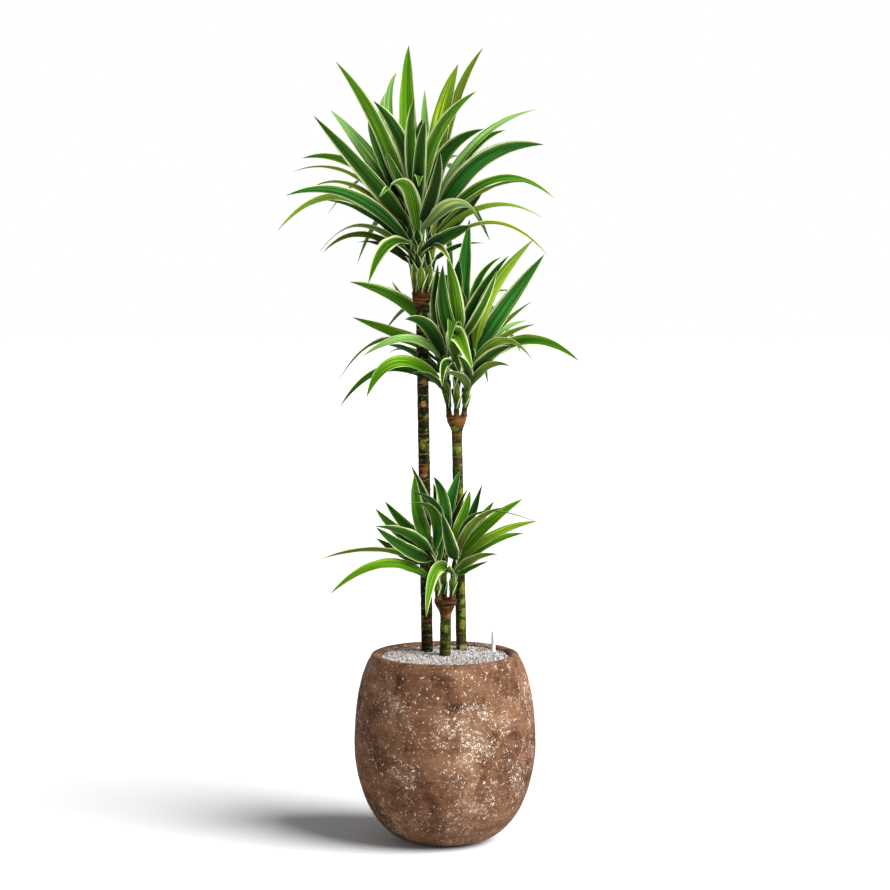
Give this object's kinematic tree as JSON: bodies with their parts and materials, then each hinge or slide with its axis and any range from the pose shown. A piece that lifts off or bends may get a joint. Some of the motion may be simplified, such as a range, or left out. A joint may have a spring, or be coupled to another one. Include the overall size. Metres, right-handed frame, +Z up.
{
  "type": "potted dracaena",
  "caption": "Tall houseplant with bare canes of stepped heights, each crowned with arching striped sword leaves, in a round-bellied pot with a gravel top",
  "frame": {"origin": "centre of the pot's flat underside, on the pot's axis", "axes": "+Z up, -Y is the front with the shortest cane nearest, +X to the right seen from the front"},
  "size_m": [0.6045, 0.5724, 1.6039],
  "materials": {
    "pot": "matte, mottled red-brown clay with pale lime flecks",
    "substrate": "matte, dark fibrous potting mix",
    "roots": "matte, root-bound soil",
    "gravel": "matte, pale grey-white grit",
    "gauge_white": "satin off-white",
    "gauge_clear": "clear, slightly cloudy",
    "gauge_rod": "matte pale grey",
    "cane": "matte green-brown bark with tan ring scars",
    "shoot": "matte green stem with pale leaf scars",
    "leaf": "satin green with cream margins and stripes"
  },
  "bodies": {
    "root": {"pot": "pot", "potting_substrate": "substrate", "root_ball": "roots", "gravel_bed": "gravel", "gauge_tube": "gauge_white", "gauge_cap": "gauge_clear", "gauge_float_rod": "gauge_rod", "tall_cane": "cane", "middle_cane": "cane", "short_cane": "cane", "tall_left_shoot": "shoot", "tall_centre_shoot": "shoot", "tall_right_shoot": "shoot", "middle_left_shoot": "shoot", "middle_centre_shoot": "shoot", "middle_right_shoot": "shoot", "short_left_shoot": "shoot", "short_centre_shoot": "shoot", "short_right_shoot": "shoot", "tall_left_leaves": "leaf", "tall_centre_leaves": "leaf", "tall_right_leaves": "leaf", "middle_left_leaves": "leaf", "middle_centre_leaves": "leaf", "middle_right_leaves": "leaf", "short_left_leaves": "leaf", "short_centre_leaves": "leaf", "short_right_leaves": "leaf"}
  },
  "joints": []
}
